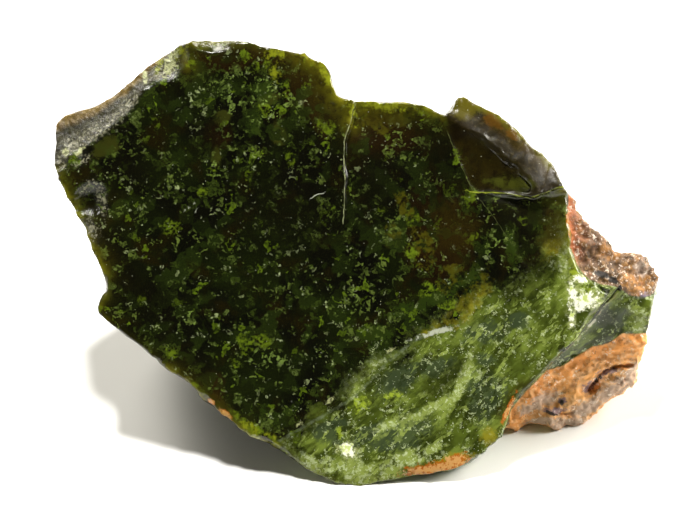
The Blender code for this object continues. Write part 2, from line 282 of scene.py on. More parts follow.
# Dished chips in the big face: U, V, half length, half width, depth and turn in degrees
CHIPS = [
    (-36.4, 7.8, 2.9, 2.3, 0.9, 60), (-37.4, 3.8, 2.6, 1.3, 0.7, 68), (-40.9, 12.9, 1.5, 1.2, 0.7, 30),
    (-35.0, -4.4, 2.2, 1.1, 0.8, 80), (-19.1, 31.0, 3.5, 2.6, 1.7, -2), (-8.7, 29.9, 1.9, 1.3, 0.8, -12),
    (-6.3, 29.0, 1.5, 1.1, 0.7, -32), (5.8, 22.2, 6.4, 1.2, 0.8, -3), (-30.0, -13.3, 4.8, 0.9, 0.6, -38),
    (-20.4, -21.0, 3.8, 1.2, 0.8, -44), (-10.0, -28.0, 5.4, 1.2, 0.8, -33), (17.2, -30.0, 4.6, 1.5, 1.0, 26),
    (-24.8, 27.4, 2.0, 3.2, 0.9, -30), (-28.4, 24.8, 1.2, 1.8, 0.6, -40),
]


def torn(points):
    """The points, moved a little in the face's plane so that lines drawn from them are ragged."""
    bent = points.copy()
    bent[:, 0] += wander(points, 1.6, 0.3)
    bent[:, 1] += wander(points, 1.6, 0.3, 7.0)
    return bent


def depth_of_scars(points):
    """How deep the scars of the big face lie below its plane."""
    bent = torn(points)
    u, v = bent[:, 0], bent[:, 1]

    out = np.maximum(beside(bent, BEVEL_RIDGE), 0.0)
    depth = BEVEL_DEPTH * (1.0 - np.exp(-out / BEVEL_REACH)) * ramp(-u, 21.0, 22.5)

    right = beside(bent, STEP)
    height = STEP_FOOT + STEP_GROWTH * ramp(v, 3.0, 22.0)
    step = height * ramp(right, 0.0, 0.35) * ramp(-right, -STEP_WIDTH, -0.5)
    depth = np.maximum(depth, step * ramp(v, -2.0, 6.0) * ramp(-u, -13.5, -10.0))

    outside, inside = beside(bent, FLAKE_RIDGE), beside(bent, FLAKE_FOOT)
    facet = (FLAKE_EDGE + FLAKE_SLOPE * np.clip(outside, 0.0, FLAKE_WIDTH)) * ramp(outside, -0.1, 0.1)
    hollow = (HOLLOW_EDGE + HOLLOW_SLOPE * np.clip(inside, 0.0, HOLLOW_WIDTH)) * ramp(inside, 0.0, 0.3)
    hollow *= ramp(-outside, 0.0, 2.4)
    scar = ramp(v, FLAKE_LOW, FLAKE_LOW + 0.5) * ramp(u, FLAKE_LEFT, FLAKE_LEFT + 1.0)
    depth = np.maximum(depth, scar * (facet + hollow))

    below = -beside(bent, LEDGE)
    ledge = (LEDGE_HEIGHT + LEDGE_SLOPE * (u - LEDGE_START)) * ramp(below, 0.0, 0.25)
    ledge *= np.exp(-np.clip(below, 0.0, 20.0) / LEDGE_REACH)
    depth = np.maximum(depth, ledge * ramp(inside, -1.0, 4.5) * ramp(-v, -9.8, -8.0))
    for *place_and_size, chip_depth, turn in CHIPS:
        along, across = across_spot(u, v, (*place_and_size, turn))
        depth = np.maximum(depth, chip_depth * np.clip(1.0 - along ** 2 - across ** 2, 0.0, 1.0))
    return depth


def carve_face(mesh):
    """Brings the big face to its plane, gently waved, with the scars cut into it."""
    points, normals = places(mesh), places(mesh, "normal")
    mine = (normals[:, 2] > 0.2) & (points[:, 2] > -5.0) & (beside(points, LIP) < 0.0)
    face = points[mine]
    share = ramp(normals[mine, 2], 0.2, 0.6) * ramp(face[:, 2], -5.0, -3.4)
    share *= 1.0 - ramp(crusted(face), 0.1, 0.6)
    share *= ramp(-beside(face, LIP), 0.2, 1.2)
    target = wander(face, 9.0, 0.35) + wander(face, 3.0, 0.1) - depth_of_scars(face)
    points[mine, 2] += share * (target - face[:, 2])
    put(mesh, points)


# Rings of a shell-shaped break: centre U, V, W, then wavelength, height and reach
RIPPLES = [
    (-38.6, 9.2, 0.0, 0.8, 0.04, 4.6),
    (-19.0, 34.0, 0.0, 1.1, 0.05, 5.5),
    (-8.6, 31.4, 0.0, 0.8, 0.04, 3.4),
    (13.0, 20.0, 0.0, 2.9, 0.025, 16.0),
    (0.5, 24.0, 0.0, 2.4, 0.02, 12.0),
    (-13.0, 6.0, -42.0, 3.4, 0.10, 26.0),
    (27.0, 18.0, -30.0, 3.0, 0.09, 22.0),
    (4.0, -16.0, -36.0, 3.2, 0.09, 22.0),
    (-36.0, 4.0, -22.0, 2.4, 0.08, 14.0),
    (-25.0, -20.0, -6.0, 2.8, 0.08, 16.0),
]


def ripple(mesh):
    """Raises the rings of the shell-shaped breaks, clear of the crust."""
    points, normals = places(mesh), places(mesh, "normal")
    amount = np.zeros(len(points))
    drift = wander(points, 4.0, 0.5)
    for u, v, w, wavelength, height, reach in RIPPLES:
        away = np.linalg.norm(points - (u, v, w), axis=1) + drift * wavelength
        amount += height * np.sin(away * 2 * math.pi / wavelength) * ramp(-away, -reach, -0.4 * reach)
    amount *= 1.0 - crusted(points)
    put(mesh, points + normals * amount[:, None])


# Cracks and pits in the surface: line, half width, depth, lowest W
CRACKS = [
    (LIP[5:], 0.34, 0.55, -7.0),
    (LIP[:6], 0.22, 0.22, -7.0),
    (SHOULDER_CRACK, 0.42, 0.8, -11.0),
    (SHOULDER_PIT, 0.3, 0.5, -11.0),
]


def crack(mesh):
    """Sinks the cracks and pits."""
    points, normals = places(mesh), places(mesh, "normal")
    amount = np.zeros(len(points))
    for line, half_width, depth, lowest in CRACKS:
        gap = np.abs(beside(points, line))
        groove = depth * ramp(-gap, -half_width, 0.0) * ramp(points[:, 2], lowest - 1, lowest)
        amount = np.maximum(amount, groove * ramp(normals[:, 2], 0.1, 0.4))
    put(mesh, points - normals * amount[:, None])


def settle_on_base(mesh, slack=0.12):
    """Flattens what looks down within this height of the base, and keeps the mesh in the solid's box."""
    low, high = np.array(CAD_BOX[0]), np.array(CAD_BOX[1])
    points = places(mesh)
    under = (points[:, 2] < slack * MM) & (places(mesh, "normal")[:, 2] < -0.8)
    points[under, 2] = 0.0
    put(mesh, np.clip(points, low, high))


def shape_stone(node):
    """The stone with its broken surface, and its sharp edges as they were before that."""
    stone = copied_stone(node)
    edges = sharp_edges(stone.data)
    finish_with(stone, "REMESH", mode="VOXEL", voxel_size=WORKING_GRAIN)

    points, normals = places(stone.data), places(stone.data, "normal")
    gap = distance_from(edges, points)
    crust = crusted(points)
    weigh(stone, "broken", ramp(gap, 0.2, 1.1) * (1.0 - 0.8 * crust))
    weigh(stone, "rim", ramp(-gap, -1.3, -0.1))
    weigh(stone, "crust", crust)
    weigh(stone, "bevel", bevelled(points, normals))
    finish_with(stone, "SMOOTH", factor=0.5, iterations=60, vertex_group="broken")
    carve_face(stone.data)
    finish_with(stone, "SMOOTH", factor=0.5, iterations=2)

    relief(stone, "CLOUDS", 4.5, 0.25, noise_depth=2)  # gentle lumps all over
    relief(stone, "CLOUDS", 1.0, 0.07, noise_depth=3)
    relief(stone, "CLOUDS", 1.4, 0.55, group="rim", mid_level=0.65, noise_depth=2)  # nibbled edges
    relief(stone, "CLOUDS", 0.5, 0.3, group="bevel", noise_depth=1)  # hackles
    relief(stone, "VORONOI", 0.95, 0.55, group="crust", mid_level=0.6)  # grains of limonite
    relief(stone, "CLOUDS", 0.5, 0.25, group="crust", noise_depth=2)
    ripple(stone.data)
    crack(stone.data)

    share = TRIANGLES / (2 * len(stone.data.polygons))
    if share < 1:
        finish_with(stone, "DECIMATE", ratio=share)
    stone.data.transform(to_stone())
    settle_on_base(stone.data)
    stone.vertex_groups.clear()
    return stone, edges


# ---------------------------------------------------------------- where each tint lies

# Spots of each tint on the big face: U, V, half length, half width, turn in degrees
SPOTS = {
    "lime": [  # bright yellow-green patches
        (-12.4, -11.8, 1.5, 0.9, 15), (-16.2, -15.0, 0.9, 0.5, -30), (1.3, -20.8, 1.3, 1.0, 30),
        (-9.0, 23.4, 0.6, 1.3, 10), (-19.0, 12.3, 0.8, 0.5, 0), (-14.2, 11.4, 0.6, 0.8, 0),
        (10.6, 20.2, 1.4, 0.6, 0), (-3.2, 17.8, 1.2, 1.3, 40), (16.6, 8.2, 1.1, 1.2, 20),
        (-8.4, 13.6, 0.7, 1.0, 30), (8.6, 0.6, 1.0, 1.6, 20), (-20.5, 9.0, 0.9, 0.7, 0),
        (31.5, -2.4, 0.8, 1.4, 20), (17.2, 2.6, 1.4, 0.6, 40), (-1.4, -24.8, 0.6, 1.0, 10),
        (6.0, -19.5, 1.4, 0.8, 20), (-22.4, 27.2, 0.8, 1.2, 20), (-13.6, -25.0, 2.2, 0.7, -38),
        (14.0, -6.8, 1.4, 0.9, 40), (9.0, 5.2, 1.1, 0.9, 0), (-21.4, -18.6, 1.6, 0.6, -45),
        (-15.6, -22.4, 1.4, 0.6, -40), (-12.6, -24.6, 2.0, 0.7, -35), (-25.0, 4.0, 1.4, 1.0, 30),
        (-12.4, 26.8, 1.6, 0.8, 30), (-14.6, -12.4, 1.2, 1.4, 0), (11.2, -4.6, 1.6, 1.0, 40),
        (-38.4, 14.2, 0.9, 1.0, 0), (-29.2, -6.0, 0.8, 0.6, 40), (-25.0, -13.6, 1.0, 0.8, 0),
        (4.4, 6.4, 0.8, 0.6, 0), (24.4, 5.0, 0.9, 0.8, 0), (33.0, -5.4, 1.0, 1.1, 0),
        (-27.2, 18.6, 0.6, 0.8, 20), (-12.0, 20.6, 1.0, 1.4, 40),
    ],
    "olive": [  # dull green-brown patches
        (23.2, 11.2, 2.4, 0.8, -10), (-18.0, 19.4, 1.2, 0.8, 20), (-10.0, 17.0, 1.0, 1.6, 10),
        (7.0, 19.0, 1.6, 0.8, 0), (-34.2, 15.2, 2.3, 1.1, 30), (-18.8, 13.8, 0.7, 1.4, 0),
        (28.0, 2.0, 2.2, 1.6, 50), (28.6, 7.9, 2.2, 1.0, 0), (-11.2, 22.0, 1.8, 0.8, 30),
        (22.5, 9.9, 2.2, 0.8, -10), (6.2, 3.0, 1.3, 1.7, 0), (-34.6, -5.2, 1.2, 1.0, 0),
    ],
    "amber": [  # brown-yellow patches
        (7.8, 6.6, 1.0, 2.6, 20), (10.6, 1.8, 1.0, 2.8, 25), (3.6, 19.0, 3.0, 1.6, -10),
        (23.0, 9.9, 1.8, 0.9, -20), (14.0, -3.0, 2.0, 1.4, 40), (16.4, -6.9, 3.4, 1.4, 60),
        (18.4, -3.9, 2.0, 1.2, 70), (13.6, -9.0, 3.4, 1.0, 30), (10.0, 1.0, 1.2, 2.2, 10),
        (14.4, -28.6, 3.0, 1.0, 14), (19.4, -25.4, 1.4, 1.2, 50), (6.4, 3.6, 1.2, 0.9, 0),
        (28.2, 1.2, 1.8, 1.2, 60),
    ],
    "rust": [  # iron stains at the edges
        (11.4, -29.9, 4.0, 0.9, 8), (14.6, -28.8, 2.2, 1.0, 20), (-17.4, -22.2, 1.3, 0.5, -42),
        (-19.4, -20.4, 0.6, 0.4, -40), (31.0, 5.4, 0.6, 2.4, 0), (22.2, -21.4, 0.35, 2.4, -24),
    ],
    "brown": [  # brown depths
        (-18.2, 16.8, 2.0, 1.8, 0), (12.6, 1.0, 4.0, 5.0, 20), (-6.6, 23.8, 3.0, 2.6, -30),
        (-35.0, -2.4, 1.2, 3.4, 15), (19.5, 12.6, 4.2, 3.2, -40), (-21.5, 27.0, 6.0, 1.4, 0),
        (5.4, 16.6, 5.0, 2.4, 0), (-13.0, 28.0, 3.0, 1.2, -10), (-19.0, -18.4, 1.2, 2.0, 10),
        (-4.0, 20.0, 1.6, 4.0, 10), (13.0, 8.0, 4.0, 3.0, 0), (-36.0, -8.0, 2.2, 1.6, 0),
        (-8.6, 28.0, 2.4, 1.0, -15),
    ],
    "light": [  # paler clouds
        (12.4, -5.6, 2.0, 1.2, 40), (5.4, -23.6, 2.6, 0.7, 20), (-8.4, -21.6, 2.2, 0.8, 35),
        (6.3, -13.6, 2.0, 0.8, 20), (-14.6, -24.2, 2.0, 0.7, -38), (11.6, -27.0, 2.0, 0.7, 20),
        (4.0, -14.4, 3.4, 0.9, 40), (10.6, -6.2, 2.4, 1.2, 30), (23.8, 9.4, 1.8, 0.7, -10),
        (-5.6, -29.0, 3.0, 1.0, -35), (1.6, -31.4, 4.0, 0.8, 4), (17.0, -3.0, 2.2, 1.4, 30),
        (8.0, -7.0, 2.6, 1.0, 30), (22.6, 1.4, 0.9, 2.6, 10), (-11.0, -22.6, 1.8, 0.9, -40),
        (15.9, -16.8, 0.8, 4.0, -20), (12.8, -20.5, 3.0, 0.7, 30), (9.5, -22.4, 3.0, 0.7, 15),
        (1.0, -29.8, 6.0, 1.1, -5), (8.0, -28.6, 3.0, 1.2, 10), (29.8, 0.6, 0.9, 4.0, 5),
        (3.4, -11.2, 3.0, 1.6, 0), (0.0, -18.0, 2.4, 1.2, 40), (40.8, -9.0, 1.4, 2.6, 0),
        (-12.0, 23.0, 2.2, 2.0, 0), (-13.4, 18.8, 1.4, 1.8, 0),
    ],
    "white": [  # white patch, painted as light glowing through the stone, and a white fleck
        (31.2, -5.2, 0.6, 1.9, 12), (32.2, -7.2, 1.2, 0.5, 10), (32.2, -3.2, 0.9, 0.5, -20),
        (-0.4, -27.2, 1.2, 0.9, -20), (31.0, -8.6, 0.5, 1.2, 0), (33.0, -6.2, 2.0, 1.1, 0),
    ],
    "thin": [  # glassy splinters and pale knots of flecks
        (-25.2, 27.0, 0.8, 1.7, -20), (-28.8, 25.2, 0.35, 1.0, 10), (-2.8, -20.2, 0.7, 0.3, 35),
        (-7.0, -23.6, 0.6, 0.25, 35), (5.6, -13.2, 0.7, 0.3, 30), (-37.8, 14.8, 0.8, 0.35, 50),
        (-39.8, 14.6, 0.5, 0.5, 60), (-12.6, -26.0, 2.4, 0.35, -33),
    ],
    "haze": [  # surfaces that are duller than the rest
        (27.2, 12.4, 3.4, 2.6, -50), (19.6, 16.6, 4.6, 0.9, -38), (24.0, 8.7, 6.0, 0.7, 4),
    ],
    "shine": [  # where light comes through the hollow
        (22.6, 10.2, 3.4, 1.1, -6), (26.2, 11.0, 1.4, 1.0, 40),
    ],
    "flecked": [  # where the pale flecks crowd
        (-13.0, 22.6, 6.0, 3.4, 0), (-18.8, 11.6, 1.4, 1.8, 0), (-10.0, -13.6, 3.4, 2.0, 20),
        (0.6, -6.0, 2.4, 1.4, 30), (9.6, 17.0, 2.6, 1.6, 0), (-22.0, -8.0, 2.0, 1.4, 0),
        (20.6, 1.6, 2.0, 2.0, 0),
    ],
    "bright": [  # edges that light comes through
        (-24.0, 28.6, 0.8, 1.4, -35), (-14.0, -24.1, 1.7, 0.6, -38), (-10.5, -25.8, 1.3, 0.6, -35),
        (-26.9, 26.6, 0.4, 1.3, -20), (-10.6, 25.4, 0.8, 1.2, 20), (4.4, 21.0, 3.4, 0.8, -4),
        (-10.5, 28.2, 1.3, 0.7, -10), (0.6, 19.6, 0.5, 1.6, 10), (-3.4, 25.6, 0.6, 1.6, 20),
        (-31.0, -12.0, 1.6, 0.3, -38),
    ],
    "streak": [  # whitish streaks
        (11.9, -10.7, 3.4, 0.4, 17), (-22.4, 7.0, 1.7, 0.15, 49), (-21.2, 6.8, 0.8, 0.12, 52),
        (34.0, -9.4, 0.9, 0.4, 40),
    ],
    "grey": [  # grey-green pools
        (11.5, -15.6, 3.4, 1.6, 10), (18.6, -10.8, 2.6, 1.8, 30), (3.0, -24.8, 3.0, 1.2, 30),
        (7.0, -25.0, 5.0, 2.4, 15), (23.6, -9.0, 2.2, 1.2, 20), (36.4, -8.6, 3.0, 2.2, -30),
        (19.0, -14.4, 1.4, 1.0, 0), (-3.0, -24.4, 2.6, 1.8, 0), (18.8, -19.4, 2.6, 3.6, 0),
        (25.4, 4.4, 3.0, 1.8, 10), (7.0, -17.4, 3.6, 2.0, 30),
    ],
    "hackles_and_painted_glints": [  # hackled broken edges, with grey glints painted on
        (-36.6, 17.0, 4.8, 1.2, 30), (-31.6, 20.7, 2.8, 0.9, 46), (-34.8, 7.8, 0.7, 2.4, 10),
        (-37.6, 13.4, 1.4, 0.8, 35), (-36.0, 3.6, 0.9, 1.9, 22), (-37.0, 9.7, 1.1, 0.6, 50),
        (-35.6, 10.2, 0.9, 0.4, -10), (-26.0, 26.2, 2.0, 1.3, 40), (-19.2, 29.9, 2.0, 0.35, 0),
        (-40.6, 13.2, 0.7, 1.4, 0),
    ],
    "mauve": [  # mauve glints in the crust
        (34.4, -18.4, 1.6, 0.7, 45), (29.2, -22.0, 1.6, 0.5, 0), (30.2, -20.6, 0.8, 0.5, 0),
        (36.8, -16.4, 1.6, 0.5, 10), (41.6, -6.0, 0.7, 1.0, 0),
    ],
    "dark": [  # the blackest places
        (-36.6, 7.0, 1.2, 1.4, 0), (36.2, -9.0, 2.0, 1.5, -30), (-2.6, 20.0, 1.6, 1.6, 0),
        (23.8, 5.6, 3.2, 1.5, 0), (13.0, 8.4, 3.5, 4.0, 10), (3.0, 8.0, 3.0, 4.0, 0),
        (-8.0, 6.0, 8.0, 7.0, 0), (4.0, 12.0, 4.0, 3.0, 0), (-28.0, -6.0, 4.0, 3.0, -30),
        (-3.0, 21.0, 1.6, 3.0, 10), (-20.0, 17.0, 3.0, 3.0, 0), (-30.0, 12.0, 3.0, 3.0, 0),
        (12.0, 16.0, 3.0, 3.0, 0), (25.0, 1.6, 2.0, 2.0, 0), (13.4, -17.4, 3.6, 1.6, 35),
        (-0.4, -17.6, 3.0, 1.4, 40), (-6.4, -24.0, 2.0, 1.2, 40), (25.4, -2.6, 4.0, 2.4, 35),
    ],
    "amber_end": [  # honey-coloured end of the upper crust
        (40.4, -3.0, 2.4, 2.0, 0), (36.4, 0.6, 1.6, 1.0, -30),
    ],
    "tea": [  # tea-brown zones
        (23.0, -20.0, 1.2, 3.6, -36), (-18.6, -20.6, 2.2, 0.9, -42), (-35.4, -1.0, 1.0, 3.4, 14),
        (28.8, 3.2, 2.0, 3.0, 8), (14.6, 3.6, 3.0, 4.0, 20), (4.0, 19.4, 4.0, 1.4, -8),
    ],
    "ash": [  # greyer crust
        (41.2, -1.8, 1.0, 1.1, 0), (27.4, -20.6, 2.4, 1.0, 24), (34.0, -21.6, 3.0, 1.2, 24),
        (27.4, -23.8, 2.6, 0.7, 6), (40.4, -16.6, 1.2, 2.0, 10), (25.4, -21.8, 1.4, 0.6, 30),
        (38.8, -18.8, 3.4, 1.5, 22), (31.0, -24.0, 3.0, 1.0, 10),
    ],
    "painted_hole_shade": [  # holes in the crust, painted dark as shade
        (35.5, -2.6, 1.3, 0.4, -20), (37.2, -3.4, 0.9, 0.45, -30), (38.0, -4.5, 0.3, 0.5, 0),
        (30.2, -20.9, 0.3, 0.5, 0), (35.4, -17.6, 0.9, 0.3, 50), (28.6, -22.4, 1.0, 0.25, -20),
    ],
}
# Spots that also show where the surface turns away from the face
TURNED_SPOTS = {
    "flake_top": [(15.4, 21.0, 2.2, 1.6, -40)],  # olive tip of the flake's facet
    "flake_orange": [(20.0, 19.0, 1.6, 0.8, -45), (22.8, 17.0, 1.0, 0.6, -45)],  # rusty stains on it
    "fibre_end": [(-4.6, 8.5, 1.2, 1.0, 30)],  # where the lint fibre lies
}
# Thin edges that let light through: a line of U, V points, how far the glow reaches, how strong it is
GLOWS = [
    ([(-6.6, 28.6), (-3.2, 26.8), (-2.5, 24.6), (-1.3, 22.2)], 1.0, 1.0),
    ([(0.9, 21.9), (8.8, 21.5)], 0.8, 1.0),
    ([(8.8, 21.4), (13.0, 19.8)], 0.7, 0.5),
    ([(-1.2, 22.0), (0.6, 21.5), (0.0, 18.6)], 0.8, 0.6),
    ([(-24.0, 29.8), (-22.5, 26.5)], 0.6, 0.4),
    ([(-24.0, 29.8), (-14.0, 30.3), (-8.0, 28.8)], 0.5, 0.5),
    ([(-41.8, 14.0), (-41.0, 11.0), (-37.8, 4.8), (-34.4, -2.5)], 0.5, 0.8),
    ([(-34.2, -5.5), (-35.4, -7.8), (-33.0, -10.2), (-25.9, -15.8)], 0.3, 0.3),
    ([(-26.0, -15.6), (-23.0, -17.5), (-20.4, -20.2)], 0.4, 0.8),
    ([(-19.0, -21.6), (-14.0, -25.2), (-10.7, -26.9)], 0.4, 0.8),
    ([(-10.0, -27.4), (-6.0, -30.0), (-2.0, -32.0), (1.4, -32.4), (10.0, -30.9)], 0.4, 0.3),
    ([(15.0, 22.6), (19.5, 21.0), (25.7, 15.2), (30.1, 10.1)], 1.0, 0.8),
    ([(31.6, 8.2), (30.9, 3.0), (31.6, -1.4)], 0.6, 0.6),
]
VEIN = [(-12.0, -27.2), (-8.4, -25.0), (-0.3, -20.4), (2.6, -17.8), (5.0, -15.1), (9.0, -11.8), (11.0, -11.0)]
FIBRE = [(-5.3, 8.1), (-4.9, 8.5), (-4.4, 8.7), (-3.9, 8.8)]


def glow(points, spread=1.0):
    """How much light comes through near the thin edges, with their reach made this many times longer."""
    each = [power * np.exp(-np.abs(beside(points, line)) / (spread * reach)) for line, reach, power in GLOWS]
    return np.max(each, axis=0)


def near_lines(points, distances, facing):
    """1 close to a painted line, where it shows, and 0 farther off."""
    u, v = points[:, 0], points[:, 1]
    shown = {"ledge_edge": (u > 17.2) & (u < 30.4), "step_edge": v > 4.5, "foot": v < 17.5}
    nearest = np.full(len(points), np.inf)
    for name, distance in distances.items():
        nearest = np.minimum(nearest, np.where(shown.get(name, True), np.abs(distance), np.inf))
    return facing * ramp(-nearest, -1.3, -0.9)


def paint(mesh, edges):
    """Writes where each tint lies into the mesh, one number a point for each. Returns the tints' names."""
    mesh.transform(to_stone().inverted())
    points, normals = places(mesh), places(mesh, "normal")
    facing = on_face(points, normals)
    u, v, w = points.T
    bent = torn(points)
    crust, bevel = crusted(points), bevelled(points, normals)
    scar = ramp(v, FLAKE_LOW, FLAKE_LOW + 0.7) * ramp(u, FLAKE_LEFT, FLAKE_LEFT + 1.0)
    inside = ramp(beside(bent, FLAKE_FOOT), -0.2, 0.6) * ramp(-beside(bent, FLAKE_RIDGE), -0.5, 0.0)
    by_crust = np.exp(-np.abs(beside(points, CRUST_EDGE)) / 1.2)
    distances = {
        "ledge_edge": beside(points, LEDGE),
        "step_edge": beside(points, STEP),
        "foot": beside(points, FLAKE_FOOT),
        "lip": beside(points, LIP),
        "vein": beside(points, VEIN),
        "fibre": beside(points, FIBRE),
    }
    tints = {
        "crust": crust,
        "upper": ramp(v, -8.5, -6.0),
        "orange": crust * np.exp(-np.abs(beside(points, LOWER_CRUST_EDGE)) / 3.0),
        "edge_orange": by_crust * ramp(v, -2.0, 1.0) * ramp(w, -7.0, -2.0),
        "pale": ramp(-beside(points, PALE_BORDER), -8.0, 8.0) * ramp(w, -34.0, -8.0),
        "bevel": bevel,
        "bevel_outer": ramp(beside(bent, BEVEL_SPLIT), -0.4, 0.6) * bevel,
        "flake_bevel": ramp(beside(bent, FLAKE_RIDGE), -0.2, 0.3) * scar * facing,
        "flake_out": np.clip(beside(bent, FLAKE_RIDGE) / FLAKE_WIDTH, 0.0, 1.0),
        "hollow": inside * ramp(beside(bent, LEDGE), 0.0, 0.3) * facing,
        "rim": np.exp(-distance_from(edges, points) / 1.7),
        "glow": facing * glow(points),
        "wide_glow": facing * glow(points, 2.6),
        "near_line": near_lines(points, distances, facing),
    }
    tints.update(distances)
    tints.update({name: spots(points, group) for name, group in TURNED_SPOTS.items()})
    tints.update({name: spots(points, group) * facing for name, group in SPOTS.items()})
    for name, values in tints.items():
        attribute = mesh.attributes.new(name, "FLOAT", "POINT")
        attribute.data.foreach_set("value", values.astype(np.float32))
    mesh.transform(to_stone())
    return list(tints)


# ---------------------------------------------------------------- materials


def tone(code):
    """A linear colour from an sRGB hex code."""
    parts = [int(code[i:i + 2], 16) / 255 for i in (0, 2, 4)]
    linear = [c / 12.92 if c <= 0.04045 else ((c + 0.055) / 1.055) ** 2.4 for c in parts]
    return (*linear, 1.0)


def add(tree, kind, inputs=(), out=0, **settings):
    """Adds a node, sets its properties and fills its sockets, in order or by name. Returns an output."""
    made = tree.nodes.new("ShaderNode" + kind)
    for name, value in settings.items():
        setattr(made, name, value)
    for name, value in inputs.items() if isinstance(inputs, dict) else enumerate(inputs):
        if isinstance(value, bpy.types.NodeSocket):
            tree.links.new(value, made.inputs[name])
        else:
            made.inputs[name].default_value = value
    return made.outputs[out]


WAVER_SIZE = 0.8  # of a thin line's wavering, in millimetres


class Patterns:
    """Masks and colours over the stone in one material. Lengths are in millimetres."""

    def __init__(self, tree, names):
        self.tree = tree
        self.painted = {name: add(tree, "Attribute", out="Fac", attribute_name=name) for name in names}
        own = add(tree, "TexCoord", out="Object")
        self.place = add(tree, "Mapping", {"Vector": own, "Scale": (1 / MM, 1 / MM, 1 / MM)})
        self.slanted = add(
            tree, "Mapping", {"Vector": own, "Rotation": (0.0, -0.57, 0.57), "Scale": (2.6 * MM, MM, MM)},
            vector_type="TEXTURE",
        )

    def clouds(self, size, low, high, detail=3.0, roughness=0.6, least=0.0, shift=0.0, place=None):
        """Cloudy patches of about this size, where a noise goes from low to high."""
        moved = (shift, 2 * shift, 3 * shift)
        place = add(self.tree, "Mapping", {"Vector": place or self.place, "Location": moved})
        level = add(self.tree, "TexNoise", {
            "Vector": place, "Scale": 1 / size, "Detail": detail, "Roughness": roughness, "Distortion": 0.3,
        })
        return add(self.tree, "MapRange", (level, low, high, least), interpolation_type="SMOOTHSTEP")

    def ragged(self, name, size, amount, low=0.35, high=0.65):
        """A painted tint whose border is torn by a noise of this size."""
        level = add(self.tree, "TexNoise", {
            "Vector": self.place, "Scale": 1 / size, "Detail": 5.0, "Roughness": 0.7,
        })
        centred = add(self.tree, "Math", (level, 0.5), operation="SUBTRACT")
        border = add(self.tree, "Math", (centred, amount, self.painted[name]), operation="MULTIPLY_ADD")
        return add(self.tree, "MapRange", (border, low, high), interpolation_type="SMOOTHSTEP")

    def line(self, name, half_width, offset=0.0, waver=0.4):
        """A thin line along a painted distance, at this offset from it."""
        level = add(self.tree, "TexNoise", {"Vector": self.place, "Scale": 1 / WAVER_SIZE, "Detail": 3.0})
        centre = add(self.tree, "Math", (level, waver, -offset - waver / 2), operation="MULTIPLY_ADD")
        gap = add(self.tree, "Math", (self.painted[name], centre), operation="ADD")
        gap = add(self.tree, "Math", (gap,), operation="ABSOLUTE")
        core = 0.3 * half_width
        shown = add(self.tree, "MapRange", (gap, half_width, core), interpolation_type="SMOOTHSTEP")
        return add(self.tree, "Math", (shown, self.painted["near_line"]), operation="MULTIPLY")

    def shards(self, size, share, shift, bend=1.0, clustered=0.0, place=None):
        """Torn angular flecks: cells bent by a noise, of which this share shows, some more than others.
        Where clustered is given, they crowd in clouds of that size."""
        moved = (shift, 2 * shift, 3 * shift)
        place = add(self.tree, "Mapping", {"Vector": place or self.place, "Location": moved})
        level = add(self.tree, "TexNoise", {"Vector": place, "Scale": 0.8 / size, "Detail": 3.0}, "Color")
        centred = add(self.tree, "VectorMath", (level, (0.5, 0.5, 0.5)), operation="SUBTRACT")
        reach = 3.0 * bend * size
        bent = add(self.tree, "VectorMath", (centred, (reach, reach, reach), place), operation="MULTIPLY_ADD")
        cells = add(self.tree, "TexVoronoi", {"Vector": bent, "Scale": 1 / size}, "Color")
        chance = add(self.tree, "SeparateColor", (cells,))
        first = 1.0 - share
        if clustered:
            crowd = self.clouds(clustered, 0.38, 0.62, 2.0, shift=shift + 50.0)
            first = add(self.tree, "MapRange", (crowd, 0.0, 1.0, 1.0 - 0.25 * share, 1.0 - 1.6 * share))
        shown = add(self.tree, "Math", (chance, first), operation="GREATER_THAN")
        power = add(self.tree, "MapRange", (chance, first, 1.0, 0.3, 1.0))
        return add(self.tree, "Math", (shown, power), operation="MULTIPLY")

    def strands(self, size, half_width, shift):
        """Thin torn strands, where a noise is near its middle."""
        moved = (shift, 2 * shift, 3 * shift)
        place = add(self.tree, "Mapping", {"Vector": self.place, "Location": moved})
        level = add(self.tree, "TexNoise", {
            "Vector": place, "Scale": 1 / size, "Detail": 2.0, "Roughness": 0.6, "Distortion": 1.2,
        })
        gap = add(self.tree, "Math", (level, 0.5), operation="SUBTRACT")
        gap = add(self.tree, "Math", (gap,), operation="ABSOLUTE")
        return add(self.tree, "MapRange", (gap, half_width, 0.0), interpolation_type="SMOOTHSTEP")

    def painted_glints(self, spacing, radius, shift=0.0):
        """Round painted glints, specks of highlight painted into the colour. Real ones are too fine to show,
        so these are drawn about 0.1 mm wide.
        """
        moved = (shift, 2 * shift, 3 * shift)
        place = add(self.tree, "Mapping", {"Vector": self.place, "Location": moved})
        away = add(self.tree, "TexVoronoi", {"Vector": place, "Scale": 1 / spacing})
        return add(self.tree, "MapRange", (away, radius / spacing, 0.6 * radius / spacing))

    def over(self, colour, *layers):
        """Colours laid over one another. A layer is its colour, its strength and the masks that it shows
        through."""
        colour = tone(colour) if isinstance(colour, str) else colour
        for layer, strength, *masks in layers:
            for mask in masks:
                strength = add(self.tree, "Math", (strength, mask), operation="MULTIPLY")
            layer = tone(layer) if isinstance(layer, str) else layer
            colour = add(self.tree, "Mix", {0: strength, 6: colour, 7: layer}, 2, data_type="RGBA")
        return colour


# In the lists below, a layer is its colour, its strength and its masks, and a mask's first number is a
# size in millimetres. Later layers lie on top.


